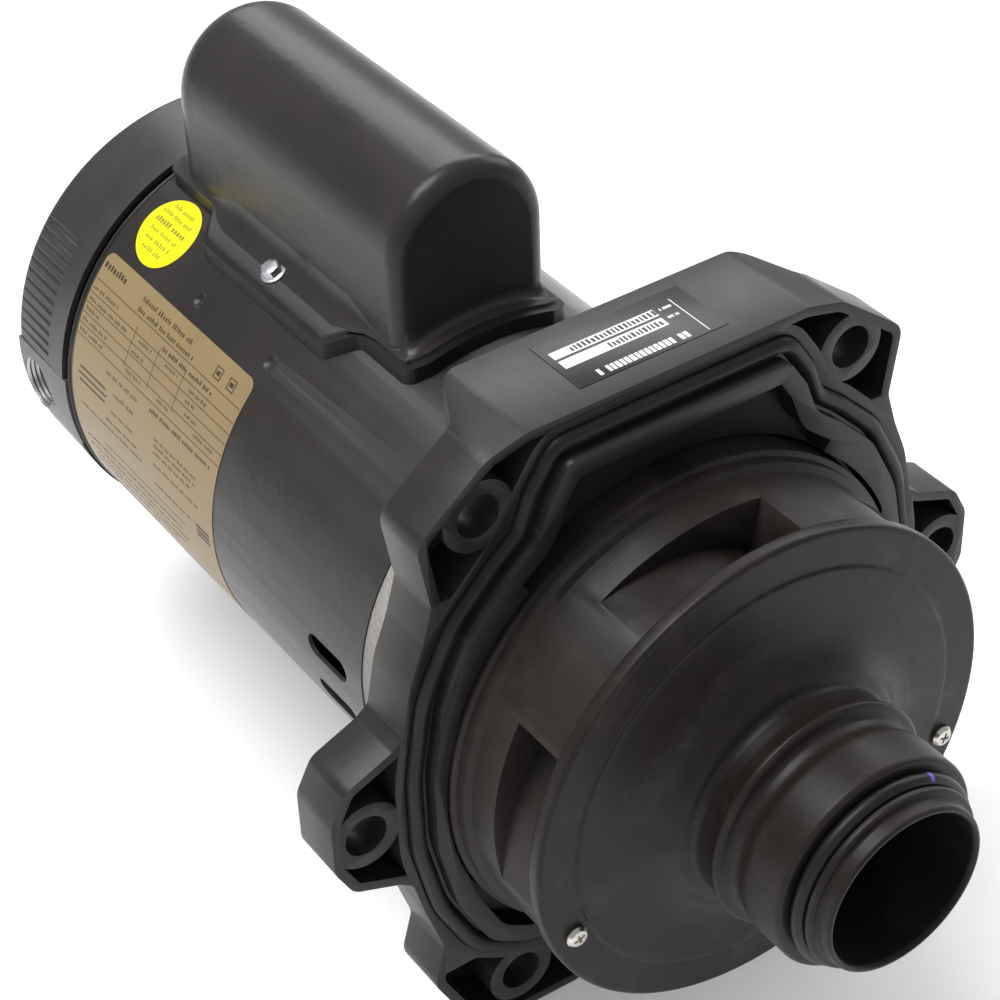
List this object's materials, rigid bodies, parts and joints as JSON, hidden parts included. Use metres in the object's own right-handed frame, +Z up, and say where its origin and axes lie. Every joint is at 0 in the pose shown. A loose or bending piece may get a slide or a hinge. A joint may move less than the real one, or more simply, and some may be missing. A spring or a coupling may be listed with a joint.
{
  "type": "pool pump power end",
  "caption": "Electric motor with a capacitor cover on top, a bolted black seal plate, and a round diffuser with a ribbed suction snout in front of its impeller.",
  "frame": {"origin": "on the shaft axis in the plane of the seal plate's housing face, midway between the two middle bolt holes", "axes": "+Z up with the capacitor cover on top, -Y along the shaft out of the suction snout, +Y to the rear of the motor, +X to the right as seen from the snout"},
  "size_m": [0.258, 0.4235, 0.2624],
  "materials": {
    "shell_paint": "satin gloss black",
    "end_frame_alu": "cast, light grey",
    "rear_frame_alu": "cast, blackened outside, bare in the port",
    "cover_plastic": "ribbed, satin",
    "zinc": "zinc plated",
    "stainless": "stainless, bright",
    "bearing_steel": "ground",
    "shaft_steel": "turned and ground",
    "lamination": "electrical sheet, dull",
    "copper_wire": "enamelled copper, varnished",
    "rotor_alu": "die cast",
    "brass_part": "turned",
    "phenolic": "moulded phenolic",
    "capacitor_can": "moulded case",
    "gasket_rubber": "moulded",
    "wire_cover": "insulation",
    "nameplate_foil": "gold foil label",
    "sticker_yellow": "paper sticker, gloss",
    "label_black": "black film label",
    "plate_plastic": "glass filled, moulded",
    "ceramic": "lapped",
    "diffuser_plastic": "glass filled, moulded",
    "impeller_plastic": "moulded",
    "ring_plastic": "acetal",
    "carbon": "lapped graphite"
  },
  "bodies": {
    "power_end": {"motor_shell": "shell_paint", "front_end_frame": "end_frame_alu", "rear_end_frame": "rear_frame_alu", "rear_cover": "cover_plastic", "rear_cover_screws": "zinc", "through_bolts": "zinc", "stator_core": "lamination", "stator_windings": "copper_wire", "front_bearing_outer": "bearing_steel", "rear_bearing_outer": "bearing_steel", "wave_spring": "stainless", "retaining_ring": "stainless", "thermal_protector": "phenolic", "terminal_board": "phenolic", "terminal_posts": "brass_part", "switch_base": "phenolic", "capacitor": "capacitor_can", "capacitor_strap": "zinc", "capacitor_cover": "shell_paint", "capacitor_gasket": "gasket_rubber", "capacitor_screws": "zinc", "lead_wires": "wire_cover", "nameplate": "nameplate_foil", "round_sticker": "sticker_yellow", "seal_plate": "plate_plastic", "seal_plate_bolts": "stainless", "housing_gasket": "gasket_rubber", "plate_label": "label_black", "ceramic_seat": "ceramic", "seat_cup": "gasket_rubber", "diffuser_body": "diffuser_plastic", "diffuser_cover": "diffuser_plastic", "diffuser_screws": "stainless", "nozzle_oring": "gasket_rubber", "wear_ring": "ring_plastic"},
    "rotor": {"shaft": "shaft_steel", "rotor_core": "lamination", "rotor_cage": "rotor_alu", "front_bearing_inner": "bearing_steel", "rear_bearing_inner": "bearing_steel", "impeller_back": "impeller_plastic", "impeller_front": "impeller_plastic", "impeller_insert": "brass_part", "seal_spring": "stainless", "seal_bellows": "gasket_rubber", "seal_carbon": "carbon", "shaft_slinger": "gasket_rubber", "governor": "zinc"},
    "front_ball_set": {"front_balls": "bearing_steel", "front_cage": "brass_part"},
    "rear_ball_set": {"rear_balls": "bearing_steel", "rear_cage": "brass_part"},
    "collar": {"switch_collar": "ring_plastic"},
    "contact_arm": {"switch_arm": "stainless"}
  },
  "joints": [
    {"name": "shaft_spin", "type": "hinge", "parent": "power_end", "child": "rotor", "pos_m": [0, 0, 0], "axis": [0, 1, 0], "continuous": true},
    {"name": "front_balls_orbit", "type": "hinge", "parent": "power_end", "child": "front_ball_set", "pos_m": [0, 0.04, 0], "axis": [0, 1, 0], "continuous": true},
    {"name": "rear_balls_orbit", "type": "hinge", "parent": "power_end", "child": "rear_ball_set", "pos_m": [0, 0.2525, 0], "axis": [0, 1, 0], "continuous": true},
    {"name": "collar_slide", "type": "slide", "parent": "rotor", "child": "collar", "axis": [0, 1, 0], "range_m": [0, 0.003], "stiffness_N_per_m": 200},
    {"name": "contact_swing", "type": "hinge", "parent": "power_end", "child": "contact_arm", "pos_m": [0, 0.2654, -0.046], "axis": [-1, 0, 0], "range_deg": [0, 5.8]}
  ],
  "couplings": [
    {"joint": "front_balls_orbit", "follows": "shaft_spin", "ratio": 0.384},
    {"joint": "rear_balls_orbit", "follows": "shaft_spin", "ratio": 0.384},
    {"joint": "contact_swing", "follows": "collar_slide", "rad_per_m": 32.2}
  ]
}
